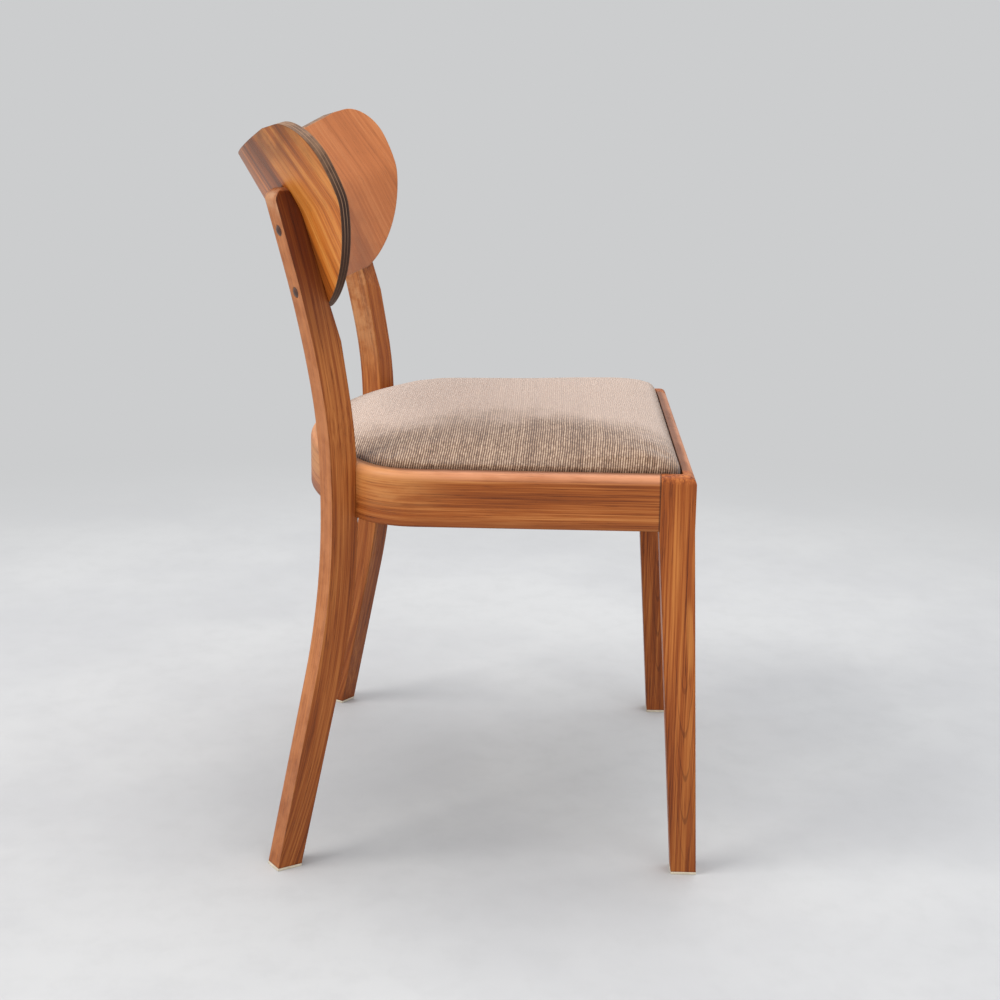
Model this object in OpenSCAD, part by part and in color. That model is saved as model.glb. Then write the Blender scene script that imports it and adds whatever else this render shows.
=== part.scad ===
// Dining chair: bent seat hoop, two front legs, two bowed back stiles and a wrapped plywood back.
// Millimetres, +Z up. The sitter faces -Y. The origin is on the floor, under the middle of the chair.

/* [Seat frame] */
// Outer width across the two front legs
frame_width = 510; // [470:5:550]
// Front face of the frame to the back of the hoop
frame_depth = 417; // [390:1:440]
// Floor to the top of the frame
frame_height = 430; // [405:1:450]
// Front face of the frame, ahead of the origin
front_reach = 238; // [220:1:255]
// Height of the hoop and of the front rail
rail_height = 57; // [45:1:70]
// Thickness of the hoop and of the front rail
rail_thickness = 22; // [18:1:28]
// Radius worn along the top outer edge of the frame
rail_round = 9; // [4:0.5:12]
// Width of the frame edge that shows around the seat
rim_width = 13; // [9:0.5:16]
// Depth of the step that carries the seat
rebate_depth = 12; // [8:0.5:16]
// Outer radius of the shallow curve across the back of the hoop
hoop_back_radius = 375; // [330:5:420]
// Outer radius of the two rear bends of the hoop
hoop_bend_radius = 75; // [55:1:90]

/* [Front legs] */
// Leg from front to back, at the frame
leg_depth = 36; // [30:0.5:42]
// Leg from front to back, at the floor
leg_foot_depth = 26.5; // [22:0.5:32]
// Leg from side to side, at the frame
leg_width = 30; // [26:0.5:36]
// Leg from side to side, at the floor
leg_foot_width = 25; // [20:0.5:30]
// How far the front face of the foot stands ahead of the frame
leg_lean = 15.5; // [5:0.5:25]

/* [Back stiles] */
// Turn of each stile about the vertical
stile_turn = 34; // [25:1:36]
// Stile from side to side, at the hoop
stile_width = 26; // [23:0.5:32]
// Stile from side to side, at the floor
stile_foot_width = 24; // [18:0.5:28]
// Stile from side to side, at its top
stile_top_width = 25; // [20:0.5:30]
// Floor to the top of the stile
stile_height = 706; // [670:1:740]
// Radius of the bow in both faces of the stile, below its foremost points
bow_radius = 780; // [600:10:950]
// Radius of the bow above its foremost points
upper_bow_radius = 1200; // [1000:10:1400]
// Height of the foremost point of the front face
front_bow_height = 380; // [360:1:400]
// Height of the foremost point of the back face
back_bow_height = 379; // [360:1:400]
// Front face at its foremost point, ahead of the hoop
housing_depth = 2.5; // [2.2:0.1:4]
// Back face at its foremost point, behind the hoop
back_bow_depth = 27; // [23:0.5:31]
// Splay of the front face below the bow, in degrees
front_splay = 13.6; // [10:0.1:16]
// Splay of the back face below the bow, in degrees
back_splay = 13; // [10:0.1:16]
// Rake of the front face above the bow, in degrees
front_rake = 5; // [4:0.1:8]
// Rake of the back face above the bow, in degrees
back_rake = 12.1; // [10:0.1:14]
// Lean of the upper stile towards the middle of the chair, in degrees
stile_lean = 9; // [6:0.5:11]
// Height over which the lean comes in, above the hoop
lean_bend = 80; // [40:5:120]
// Rounding of the back edge at the top of the stile
stile_round = 13; // [6:0.5:18]
// Rounding of the side edges at the top of the stile
stile_corner = 8; // [4:0.5:10]

/* [Backrest] */
// Radius of the inner face of the shell
shell_radius = 420; // [400:5:450]
// Thickness of the moulded plywood
shell_thickness = 11; // [9:0.5:14]
// Tilt of the shell from the vertical
shell_tilt = 17; // [12:0.5:24]
// Height of the middle of the shell
shell_middle = 661; // [640:1:680]
// Inner face of the shell behind the origin, at its middle
shell_back = 202.5; // [198:0.5:207]
// Shell from its middle up to the top edge
shell_up = 96; // [88:1:105]
// Shell from its middle down to the bottom edge
shell_down = 92; // [86:1:100]
// Depth of the hollow sweep of the top edge, at its middle
shell_dip = 18; // [6:1:26]
// Half the width of that sweep
dip_half = 240; // [200:5:245]
// Height above the middle of the shell where it starts to flare back
flare_start = 2; // [0:1:20]
// Lean of the flared top against the rest of the shell, in degrees
flare_lean = 13; // [4:1:16]
// Radius of the bend into the flare
flare_radius = 60; // [40:5:120]
// Turn of the shell from its middle to the tip of a wing, in degrees
wing_turn = 41.5; // [39:0.5:44]
// How much wider the arc at the end of a wing is than the lower edge needs
wing_spare = 3; // [1:0.5:12]
// Height of the centre of that radius above the middle of the shell
wing_rise = 45; // [36:1:50]
// Upper corner radius of a wing
wing_top_round = 46; // [30:1:50]
// Lower corner radius of a wing
wing_low_round = 30; // [10:1:40]

/* [Seat] */
// Thickness of the seat board
board_thickness = 12; // [9:0.5:15]
// Floor to the crown of the seat
seat_crown = 467; // [450:1:480]
// Radius of the crowned top of the seat
crown_radius = 3000; // [2000:50:5000]
// Height of the rolled edge of the seat
seat_shoulder = 457; // [445:1:465]
// Radius of the rolled edge of the seat
seat_round = 16; // [8:1:24]
// Plan radius of the front corners of the seat
seat_corner = 26; // [12:1:40]
// Thickness of the cover fabric
cover_thickness = 1.5; // [1:0.1:2.5]
// Width of cover folded under the board
cover_fold = 34; // [26:1:45]
// Thickness of the dust cloth
dust_thickness = 0.6; // [0.4:0.1:1]
// Inner edge of the fold covered by the dust cloth
dust_lap = 10; // [4:1:14]
// Room between the seat and the frame
seat_clearance = 1; // [0.5:0.1:2]

/* [Blocks] */
// Length of a corner block along each rail
block_leg = 68; // [50:1:85]
// Height of the blocks
block_height = 32; // [24:1:40]
// Room between the blocks and the seat
block_drop = 2.5; // [1.5:0.1:5]
// Length of a side cleat
cleat_length = 60; // [45:1:80]
// Thickness of a side cleat
cleat_thickness = 22; // [16:1:26]
// Screw of a side cleat, from the end of the cleat
cleat_screw_end = 12; // [8:1:18]
// Middle of a side cleat, behind the origin
cleat_middle = -3; // [-20:1:10]

/* [Fasteners] */
// Diameter of a wood screw
screw_diameter = 4.5; // [3.5:0.1:6]
// Diameter of a wood screw head
screw_head = 8.6; // [7:0.1:11]
// Height of a wood screw head
screw_head_height = 3.4; // [2.5:0.1:5]
// Wood between a block screw head and the rail
block_grip = 18; // [12:0.5:22]
// Depth of a block screw in the rail
block_bite = 14; // [10:0.5:17]
// Depth of a seat screw in the board
seat_bite = 9; // [6:0.5:11]
// Depth of a seat screw head in its block
seat_screw_sink = 6; // [4:0.5:10]
// Seat screw at a corner block, in from the inner face of the side rail
seat_screw_side = 28; // [22:1:34]
// Seat screw at a corner block, back from the inner face of the front rail
seat_screw_front = 26; // [20:1:32]
// Wood between a backrest screw head and the shell
back_grip = 12; // [8:0.5:18]
// Depth of a backrest screw in the shell
back_bite = 8; // [6:0.5:9]
// Height of the lower backrest screw at the stile
back_screw_low = 603; // [590:1:620]
// Height of the upper backrest screw at the stile
back_screw_high = 664; // [650:1:680]
// Diameter of the plugs over the backrest screws
plug_diameter = 11; // [9:0.5:14]
// Length of a plug in the stile
plug_depth = 5; // [3:0.5:8]
// Height of the domed head of a plug
plug_dome = 2; // [1:0.5:4]
// Diameter of a frame bolt
bolt_diameter = 6; // [5:0.5:8]
// Diameter of a frame bolt head
bolt_head = 10.5; // [9:0.5:14]
// Height of a frame bolt head
bolt_head_height = 3.3; // [2.5:0.1:5]
// Diameter of the washer under a bolt head
washer_diameter = 13; // [11:0.5:16]
// Thickness of the washer
washer_thickness = 1.2; // [0.8:0.1:2]
// Depth of the flat cut for the washer
spot_depth = 1.6; // [1:0.1:3]
// Height of the lower frame bolt above the bottom of the hoop
bolt_low = 14; // [10:1:20]
// Height of the upper frame bolt above the bottom of the hoop
bolt_high = 35; // [30:1:38]
// Diameter of the threaded insert
insert_diameter = 10; // [9:0.5:12]
// Length of the threaded insert
insert_length = 15; // [10:0.5:18]
// Diameter of a dowel
dowel_diameter = 8; // [6:0.5:10]
// Depth of a dowel in each piece
dowel_depth = 18; // [12:0.5:20]
// Height of the lower dowel of a pair above the bottom of the rail
dowel_low = 14; // [12:1:20]
// Distance between the dowels of a pair
dowel_pitch = 21; // [16:1:24]
// How much lower the front dowels stand, so that they pass the side ones
dowel_step = 3; // [0:0.5:3]
// Width of a staple
staple_width = 10; // [6:0.5:14]
// Length of a staple leg
staple_leg = 7; // [5:0.5:9]
// Thickness of staple wire
staple_wire = 0.8; // [0.6:0.1:1.2]
// Room around screws, bolts and staples
bore_clearance = 0.15; // [0.1:0.05:0.3]
// Room around dowels, plugs and inserts
fit_clearance = 0.05; // [0.05:0.05:0.2]

/* [Glides] */
// Thickness of the felt glides
glide_thickness = 3; // [2:0.5:5]

/* [Hidden] */
$fn = 96;
eps = 0.01;
lap = 0.4;
far = 1000;
half_width = frame_width / 2;
front_y = -front_reach;
rail_bottom = frame_height - rail_height;
ledge_height = frame_height - rebate_depth;
rail_middle = half_width - rail_thickness / 2;
inner_half = half_width - rail_thickness;
inner_front = front_y + rail_thickness;
leg_back_y = front_y + leg_depth;
leg_inner_x = half_width - leg_width;
// The back of the hoop is one wide arc, met by a tighter bend at each side.
hoop_back_y = front_y + frame_depth;
arc_centre_y = hoop_back_y - hoop_back_radius;
bend_x = half_width - hoop_bend_radius;
bend_angle = asin(bend_x / (hoop_back_radius - hoop_bend_radius));
bend_y = arc_centre_y + (hoop_back_radius - hoop_bend_radius) * cos(bend_angle);
// Each stile stands where the wide arc has turned by stile_turn.
stile_x = hoop_back_radius * sin(stile_turn);
stile_y = arc_centre_y + hoop_back_radius * cos(stile_turn);
stile_flat = 0.6;
bow_step = 1;
round_lead = 0.3;
bend_lap = 0.001;
bolt_length = washer_thickness + rail_thickness - spot_depth + insert_length - 3;
shell_outer = shell_radius + shell_thickness;
wing_radius = shell_down + wing_rise + wing_spare;
dip_radius = (dip_half * dip_half + shell_dip * shell_dip) / (2 * shell_dip);
// Layers of the seat, measured in from the outside of the frame.
cover_inset = rim_width + seat_clearance;
pad_inset = cover_inset + cover_thickness;
board_bottom = ledge_height + cover_thickness;
board_top = board_bottom + board_thickness;
fold_inset = pad_inset + cover_fold;
dust_inset = fold_inset - dust_lap;
staple_inset = fold_inset - dust_lap / 2;
block_top = ledge_height - block_drop;
block_bottom = block_top - block_height;
seat_screw_seat = block_bottom + seat_screw_sink;
seat_screw_x = inner_half - seat_screw_side;
seat_screw_y = inner_front + seat_screw_front;
block_screw_z = block_bottom + block_height / 2;
block_screw_along = block_leg * 0.44;
cleat_screw_half = cleat_length / 2 - cleat_screw_end;
cleat_x = inner_half - cleat_thickness;

// ---------- helpers ----------

// Draws the children on the right of the chair and mirrored on the left.
module both_sides() {
  children();
  mirror([1, 0, 0]) children();
}

// Section of the hoop and of the front rail: x runs in from the outer face, y is the height.
module rail_section() {
  difference() {
    union() {
      translate([0, rail_bottom]) square([rail_thickness, rail_height - rail_round]);
      translate([rail_round, rail_bottom]) square([rail_thickness - rail_round, rail_height]);
      translate([rail_round, frame_height - rail_round]) circle(rail_round);
    }
    translate([rim_width, ledge_height]) square([rail_thickness, rebate_depth + 1]);
  }
}

// Runs a section along one straight side, from y_from back to y_to.
module along_side(y_from, y_to) {
  translate([half_width, y_to, 0])
    rotate([90, 0, 0])
      linear_extrude(y_to - y_from)
        mirror([1, 0]) children();
}

// Plan of the part of the frame that belongs to the wide arc at the back.
module arc_wedge() {
  polygon([
    [0, arc_centre_y],
    [far * sin(bend_angle), arc_centre_y + far * cos(bend_angle)],
    [-far * sin(bend_angle), arc_centre_y + far * cos(bend_angle)]
  ]);
}

// Runs a section round the rear bend on the right.
module round_bend() {
  difference() {
    translate([bend_x, bend_y, 0])
      rotate_extrude(angle = 90)
        translate([hoop_bend_radius, 0]) mirror([1, 0]) children();
    linear_extrude(far) arc_wedge();
  }
}

// Runs a section along the wide arc at the back.
module round_back() {
  intersection() {
    translate([0, arc_centre_y, 0])
      rotate_extrude(angle = 180, $fn = 192)
        translate([hoop_back_radius, 0]) mirror([1, 0]) children();
    linear_extrude(far) arc_wedge();
  }
}

// Plan of the frame, drawn in by inset, with its front corners rounded by corner.
module plan(inset, corner) {
  half = half_width - inset;
  low = front_y + inset;
  union() {
    translate([-half, low + corner]) square([2 * half, bend_y - low - corner]);
    translate([-half + corner, low]) square([2 * (half - corner), corner + 1]);
    translate([half - corner, low + corner]) circle(corner);
    translate([-half + corner, low + corner]) circle(corner);
    translate([bend_x, bend_y]) circle(hoop_bend_radius - inset);
    translate([-bend_x, bend_y]) circle(hoop_bend_radius - inset);
    intersection() {
      translate([0, arc_centre_y]) circle(hoop_back_radius - inset, $fn = 192);
      arc_wedge();
    }
  }
}

// Runs a section round the whole plan of the seat. The section starts at the outside of the frame.
module round_seat(inset, corner) {
  turn = corner + inset;
  both_sides() {
    along_side(front_y + turn, bend_y) children();
    round_bend() children();
    translate([half_width - turn, front_y + turn, 0])
      rotate([0, 0, -90])
        rotate_extrude(angle = 90)
          translate([turn, 0]) mirror([1, 0]) children();
  }
  round_back() children();
  translate([half_width - turn, front_y, 0])
    rotate([90, 0, -90])
      linear_extrude(2 * (half_width - turn))
        mirror([1, 0]) children();
}

// Points along a bowed face, from the floor up: straight part, arc in fine steps, straight part.
function bow(depth, height, lower, upper, top) = let(
    low = [depth + bow_radius * (1 - cos(lower)), height - bow_radius * sin(lower)],
    high = [depth + upper_bow_radius * (1 - cos(upper)), height + upper_bow_radius * sin(upper)])
  concat(
    [[low.x + low.y * tan(lower), 0]],
    [for (a = [-lower : lower / round(lower / bow_step) : -0.001])
      [depth + bow_radius * (1 - cos(a)), height + bow_radius * sin(a)]],
    [for (a = [0 : upper / round(upper / bow_step) : upper + 0.001])
      [depth + upper_bow_radius * (1 - cos(a)), height + upper_bow_radius * sin(a)]],
    [[high.x + (top - high.y) * tan(upper), top]]);

function backwards(points) = [for (i = [len(points) - 1 : -1 : 0]) points[i]];

// Moves a stile's own frame to the right stile: y runs back and out from the hoop.
module at_stile() {
  translate([stile_x, stile_y, 0]) rotate([0, 0, -stile_turn]) children();
}

// The shell's own frame: x across, y forward of the inner face, z up the shell.
module at_shell() {
  translate([0, shell_back, shell_middle]) rotate([-shell_tilt, 0, 0]) mirror([0, 1, 0]) children();
}

// Wood screw along +Z: the head is below the origin, the shank above it.
module wood_screw(length) {
  translate([0, 0, -screw_head_height]) cylinder(d = screw_head, h = screw_head_height);
  translate([0, 0, -eps]) cylinder(d = screw_diameter, h = length + eps);
}

// Hole for a wood screw along +Z, with its head sunk from below.
module screw_hole(length, sink) {
  translate([0, 0, -sink]) cylinder(d = screw_head + 2 * bore_clearance + 0.6, h = sink);
  translate([0, 0, -eps]) cylinder(d = screw_diameter + 2 * bore_clearance, h = length + 0.5);
}

// ---------- seat frame ----------

module hoop_blank() {
  both_sides() {
    along_side(leg_back_y, bend_y) rail_section();
    round_bend() rail_section();
  }
  round_back() rail_section();
}

module seat_hoop() {
  color("#a9653a") difference() {
    hoop_blank();
    both_sides() {
      at_stile() translate([-stile_width, -stile_flat, rail_bottom - 1])
        cube([2 * stile_width, 20, rail_height + 2]);
      hoop_bolt_bores();
      side_dowel_bores();
      side_screw_holes();
    }
  }
}

module front_rail() {
  color("#b0693c") difference() {
    translate([leg_inner_x, front_y, 0])
      rotate([90, 0, -90])
        linear_extrude(2 * leg_inner_x)
          mirror([1, 0]) rail_section();
    both_sides() {
      front_dowel_bores();
      front_screw_holes();
    }
  }
}

// Front leg seen from the side: y is the depth, the second axis is the height.
module leg_side() {
  union() {
    polygon([
      [front_y - leg_lean, 0],
      [front_y - leg_lean + leg_foot_depth, 0],
      [leg_back_y, rail_bottom],
      [leg_back_y, frame_height - rail_round],
      [front_y, frame_height - rail_round],
      [front_y, rail_bottom]
    ]);
    translate([front_y + rail_round, rail_bottom]) square([leg_depth - rail_round, rail_height]);
    translate([front_y + rail_round, frame_height - rail_round]) circle(rail_round);
  }
}

// Front leg seen from the front: x across, the second axis is the height.
module leg_front() {
  union() {
    polygon([
      [half_width - leg_foot_width, 0],
      [half_width, 0],
      [half_width, frame_height - rail_round],
      [leg_inner_x, frame_height - rail_round],
      [leg_inner_x, rail_bottom]
    ]);
    translate([leg_inner_x, rail_bottom]) square([leg_width - rail_round, rail_height]);
    translate([half_width - rail_round, frame_height - rail_round]) circle(rail_round);
  }
}

module leg_blank() {
  intersection() {
    rotate([90, 0, 90]) linear_extrude(far) leg_side();
    rotate([90, 0, 0]) linear_extrude(far) leg_front();
  }
}

module front_leg() {
  difference() {
    leg_blank();
    translate([0, -far, -1]) cube([far, 2 * far, glide_thickness + 1]);
    translate([0, front_y + rim_width, ledge_height])
      cube([half_width - rim_width, leg_depth, rebate_depth + 1]);
    side_dowel_bores();
    front_dowel_bores();
  }
}

module front_leg_left() {
  color("#9c5a30") mirror([1, 0, 0]) front_leg();
}

module front_leg_right() {
  color("#9c5a30") front_leg();
}

// ---------- back stiles ----------

// Stile seen from its side: the first axis runs back from the hoop, the second is the height.
module stile_side() {
  front = bow(-housing_depth, front_bow_height, front_splay, front_rake, stile_height);
  back = bow(back_bow_depth, back_bow_height, back_splay, back_rake, stile_height);
  top_y = back[len(back) - 1].x - stile_round * tan(back_rake) + round_lead;
  difference() {
    polygon(concat(front, backwards(back)));
    translate([top_y, stile_height]) difference() {
      translate([-stile_round, -stile_round]) square(3 * stile_round);
      translate([-stile_round, -stile_round]) circle(stile_round);
    }
  }
}

// How far the middle of the stile has moved in at a height.
function lean_in(z) = let(
    rise = max(0, z - frame_height),
    bent = min(1, rise / lean_bend))
  tan(stile_lean) * (lean_bend * bent * bent / 2 + max(0, rise - lean_bend));

// Half the width of the stile at a height above the hoop.
function stile_half(z) = (stile_width
  + (stile_top_width - stile_width) * (z - frame_height) / (stile_height - frame_height)) / 2;

// Stile seen from behind: x across, the second axis is the height.
module stile_face() {
  heights = [for (i = [0:4]) frame_height + lean_bend * i / 4];
  corner_low = stile_height - stile_corner;
  corner_in = stile_half(corner_low) - stile_corner / cos(stile_lean);
  union() {
    polygon(concat(
      [
        [-stile_foot_width / 2, 0],
        [stile_foot_width / 2, 0],
        [stile_width / 2, rail_bottom]
      ],
      [for (z = heights) [stile_half(z) - lean_in(z), z]],
      [
        [stile_half(corner_low) - lean_in(corner_low), corner_low],
        [-stile_half(corner_low) - lean_in(corner_low), corner_low]
      ],
      backwards([for (z = heights) [-stile_half(z) - lean_in(z), z]]),
      [[-stile_width / 2, rail_bottom]]));
    translate([-lean_in(corner_low) - corner_in, corner_low - 1])
      square([2 * corner_in, stile_corner + 1]);
    translate([-lean_in(corner_low) - corner_in, corner_low]) circle(stile_corner);
    translate([-lean_in(corner_low) + corner_in, corner_low]) circle(stile_corner);
  }
}

module stile_blank() {
  at_stile() intersection() {
    translate([-far / 2, 0, 0]) rotate([90, 0, 90]) linear_extrude(far) stile_side();
    translate([0, far / 2, 0]) rotate([90, 0, 0]) linear_extrude(far) stile_face();
  }
}

module back_stile() {
  difference() {
    stile_blank();
    translate([-far, -far, -1]) cube([2 * far, 2 * far, glide_thickness + 1]);
    at_stile() translate([-stile_width, -stile_flat - 20, rail_bottom])
      cube([2 * stile_width, 20, rail_height]);
    at_shell() translate([0, shell_radius, 0]) rotate_extrude($fn = 360) inside_shell(0);
    insert_bores();
    back_screw_holes();
  }
}

module back_stile_left() {
  color("#9a5c34") mirror([1, 0, 0]) back_stile();
}

module back_stile_right() {
  color("#9a5c34") back_stile();
}

// ---------- backrest ----------

// All that lies inside the shell's outer face, or a depth below it: x is the radius, y runs up the shell.
// The side is straight, then bends out into the flare.
module inside_shell(depth) {
  side = shell_outer - depth;
  bend = [shell_outer + flare_radius, flare_start];
  reach = flare_radius + depth;
  flare_end = bend + reach * [-cos(flare_lean), sin(flare_lean)];
  difference() {
    polygon([
      [0, -far / 4],
      [side, -far / 4],
      [side, flare_start],
      bend,
      flare_end,
      flare_end + far / 4 * [sin(flare_lean), cos(flare_lean)],
      [0, flare_end.y + far / 4 * cos(flare_lean)]
    ]);
    translate(bend) circle(reach + bend_lap);
  }
}

// Outline of the shell seen square to a wing: x runs to the tip of the wing, y runs up the shell.
module wing_outline() {
  top_x = -wing_radius
    + sqrt(pow(wing_radius - wing_top_round, 2) - pow(shell_up - wing_top_round - wing_rise, 2));
  low_x = -wing_radius
    + sqrt(pow(wing_radius - wing_low_round, 2) - pow(-shell_down + wing_low_round - wing_rise, 2));
  top_c = [top_x, shell_up - wing_top_round];
  low_c = [low_x, -shell_down + wing_low_round];
  mid_c = [-wing_radius, wing_rise];
  low_turn = atan2(low_c.y - mid_c.y, low_c.x - mid_c.x) - lap;
  top_turn = atan2(top_c.y - mid_c.y, top_c.x - mid_c.x) + lap;
  top_foot = min(mid_c.y, top_c.y) - 1;
  union() {
    translate([-far, -shell_down + wing_low_round])
      square([far + low_x, shell_up + shell_down - wing_top_round - wing_low_round]);
    translate([-far, -shell_down]) square([far + low_x, wing_low_round + 1]);
    translate([-far, top_foot]) square([far + top_x, shell_up - top_foot]);
    translate(top_c) circle(wing_top_round);
    translate(low_c) circle(wing_low_round);
    intersection() {
      translate(mid_c) circle(wing_radius);
      polygon([
        mid_c,
        mid_c + far * [cos(low_turn), sin(low_turn)],
        mid_c + far * [cos(top_turn), sin(top_turn)]
      ]);
    }
  }
}

// Cuts the right wing to its outline, square through the plywood at the tip.
module wing_cutter() {
  translate([shell_radius * sin(wing_turn), shell_radius * (1 - cos(wing_turn)), 0])
    rotate([90, 0, wing_turn])
      linear_extrude(far, center = true) wing_outline();
}

module shell_blank() {
  at_shell() difference() {
    intersection() {
      translate([0, shell_radius, 0]) rotate_extrude($fn = 360) difference() {
        inside_shell(0);
        inside_shell(shell_thickness);
      }
      wing_cutter();
      mirror([1, 0, 0]) wing_cutter();
      translate([-far / 2, -far / 2, -far / 2]) cube([far, far / 2 + shell_radius / 2, far]);
    }
    translate([0, 0, shell_up - shell_dip + dip_radius])
      rotate([90, 0, 0]) cylinder(r = dip_radius, h = far, center = true, $fn = 360);
  }
}

module backrest() {
  color("#c07f4c") difference() {
    shell_blank();
    both_sides() back_screw_holes();
  }
}

// ---------- backrest fasteners ----------

// A point or direction of the chair, seen from the shell's own frame.
function in_shell(v) = [
  v.x,
  -v.y * cos(shell_tilt) + v.z * sin(shell_tilt),
  v.y * sin(shell_tilt) + v.z * cos(shell_tilt)
];

// Screw axis: forward and up, square to the back face of the stile.
screw_way = [-sin(stile_turn) * cos(back_rake), -cos(stile_turn) * cos(back_rake), sin(back_rake)];

// Point where the screw axis leaves the back face of the stile, at a given height.
function back_face(z) = let(
    back = back_bow_depth + upper_bow_radius * (1 - cos(back_rake))
      + (z - back_bow_height - upper_bow_radius * sin(back_rake)) * tan(back_rake))
  [
    stile_x + back * sin(stile_turn) - lean_in(z) * cos(stile_turn),
    stile_y + back * cos(stile_turn) + lean_in(z) * sin(stile_turn),
    z
  ];

// Distance along the axis from the back face to the outer face of the shell.
function to_shell(z) = let(
    p = in_shell(back_face(z) - [0, shell_back, shell_middle]) - [0, shell_radius, 0],
    d = in_shell(screw_way),
    a = d.x * d.x + d.y * d.y,
    b = p.x * d.x + p.y * d.y,
    c = p.x * p.x + p.y * p.y - shell_outer * shell_outer)
  (-b - sqrt(b * b - a * c)) / a;

// Places the children at the back face with +Z along the screw axis.
module at_back_screw(z) {
  translate(back_face(z))
    rotate([0, 0, -stile_turn])
      rotate([90 - back_rake, 0, 0])
        children();
}

module back_screw_holes() {
  for (z = [back_screw_low, back_screw_high])
    at_back_screw(z) {
      translate([0, 0, to_shell(z) - back_grip])
        cylinder(d = screw_diameter + 2 * bore_clearance, h = back_grip + back_bite + 0.5);
      translate([0, 0, -20])
        cylinder(d = plug_diameter + 2 * fit_clearance, h = 20 + to_shell(z) - back_grip);
    }
}

module backrest_screws() {
  color("#8c8f92") both_sides()
    for (z = [back_screw_low, back_screw_high])
      at_back_screw(z) translate([0, 0, to_shell(z) - back_grip])
        wood_screw(back_grip + back_bite);
}

module backrest_plugs() {
  dome_radius = (pow(plug_diameter / 2, 2) + pow(plug_dome, 2)) / (2 * plug_dome);
  color("#4a2a18") both_sides()
    for (z = [back_screw_low, back_screw_high])
      at_back_screw(z) {
        cylinder(d = plug_diameter, h = plug_depth);
        intersection() {
          translate([0, 0, dome_radius - plug_dome]) sphere(dome_radius);
          translate([0, 0, -plug_dome - 1]) cylinder(d = plug_diameter, h = plug_dome + 1 + eps);
        }
      }
}

// ---------- frame joints ----------

// Places the children at a bolt, with +Z running out through the hoop into the stile.
module at_stile_bolt(rise) {
  at_stile() translate([0, -rail_thickness + spot_depth, rail_bottom + rise]) rotate([-90, 0, 0]) children();
}

module hoop_bolt_bores() {
  for (rise = [bolt_low, bolt_high])
    at_stile_bolt(rise) {
      translate([0, 0, -20]) cylinder(d = washer_diameter + 1, h = 20);
      translate([0, 0, -1]) cylinder(d = bolt_diameter + 2 * bore_clearance, h = rail_thickness + 2);
    }
}

module insert_bores() {
  for (rise = [bolt_low, bolt_high])
    at_stile_bolt(rise) translate([0, 0, rail_thickness - spot_depth - stile_flat - 2])
      cylinder(d = insert_diameter + 2 * fit_clearance, h = insert_length + 2.5);
}

module stile_washers() {
  color("#a8abae") both_sides()
    for (rise = [bolt_low, bolt_high])
      at_stile_bolt(rise) translate([0, 0, -washer_thickness]) difference() {
        cylinder(d = washer_diameter, h = washer_thickness);
        translate([0, 0, -1]) cylinder(d = bolt_diameter + 2 * bore_clearance, h = washer_thickness + 2);
      }
}

module stile_bolts() {
  color("#8c8f92") both_sides()
    for (rise = [bolt_low, bolt_high])
      at_stile_bolt(rise) translate([0, 0, -washer_thickness]) difference() {
        union() {
          translate([0, 0, -bolt_head_height]) cylinder(d = bolt_head, h = bolt_head_height);
          translate([0, 0, -eps]) cylinder(d = bolt_diameter, h = bolt_length);
        }
        translate([0, 0, -bolt_head_height - 1]) cylinder(d = 4.6, h = 3, $fn = 6);
      }
}

module stile_inserts() {
  color("#b8963e") both_sides()
    for (rise = [bolt_low, bolt_high])
      at_stile_bolt(rise) translate([0, 0, rail_thickness - spot_depth - stile_flat]) difference() {
        cylinder(d = insert_diameter, h = insert_length);
        translate([0, 0, -1]) cylinder(d = bolt_diameter + 2 * bore_clearance, h = insert_length + 2);
      }
}

module dowel() {
  cylinder(d = dowel_diameter, h = 2 * dowel_depth, center = true);
}

module dowel_bore() {
  cylinder(d = dowel_diameter + 2 * fit_clearance, h = 2 * dowel_depth + 0.6, center = true);
}

// Dowels between a front leg and the hoop.
module at_side_dowels() {
  for (rise = [dowel_low + dowel_step, dowel_low + dowel_step + dowel_pitch])
    translate([rail_middle, leg_back_y, rail_bottom + rise]) rotate([90, 0, 0]) children();
}

module side_dowel_bores() {
  at_side_dowels() dowel_bore();
}

module side_dowels() {
  color("#d2b48a") both_sides() at_side_dowels() dowel();
}

// Dowels between a front leg and the front rail.
module at_front_dowels() {
  for (rise = [dowel_low - dowel_step, dowel_low - dowel_step + dowel_pitch])
    translate([leg_inner_x, front_y + rail_thickness / 2, rail_bottom + rise]) rotate([0, 90, 0]) children();
}

module front_dowel_bores() {
  at_front_dowels() dowel_bore();
}

module front_dowels() {
  color("#d2b48a") both_sides() at_front_dowels() dowel();
}

// ---------- blocks under the seat ----------

// Places the children at a block screw in the front rail, with +Z forward.
module at_front_screw() {
  translate([inner_half - block_leg + block_screw_along, inner_front + block_grip, block_screw_z])
    rotate([90, 0, 0]) children();
}

// Places the children at the block and cleat screws in the side of the hoop, with +Z outward.
module at_side_screws() {
  block_y = inner_front + block_leg - block_screw_along;
  for (y = [block_y, cleat_middle - cleat_screw_half, cleat_middle + cleat_screw_half])
    translate([inner_half - block_grip, y, block_screw_z]) rotate([0, 90, 0]) children();
}

module front_screw_holes() {
  at_front_screw() screw_hole(block_grip + block_bite, 40);
}

module side_screw_holes() {
  at_side_screws() screw_hole(block_grip + block_bite, 40);
}

module block_screws() {
  color("#8c8f92") both_sides() {
    at_front_screw() wood_screw(block_grip + block_bite);
    at_side_screws() wood_screw(block_grip + block_bite);
  }
}

// Places the children at the seat screws, with +Z up.
module at_seat_screws() {
  translate([seat_screw_x, seat_screw_y, seat_screw_seat]) children();
  translate([cleat_x + cleat_thickness / 2, cleat_middle, seat_screw_seat]) children();
}

seat_screw_length = board_bottom + seat_bite - seat_screw_seat;

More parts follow.
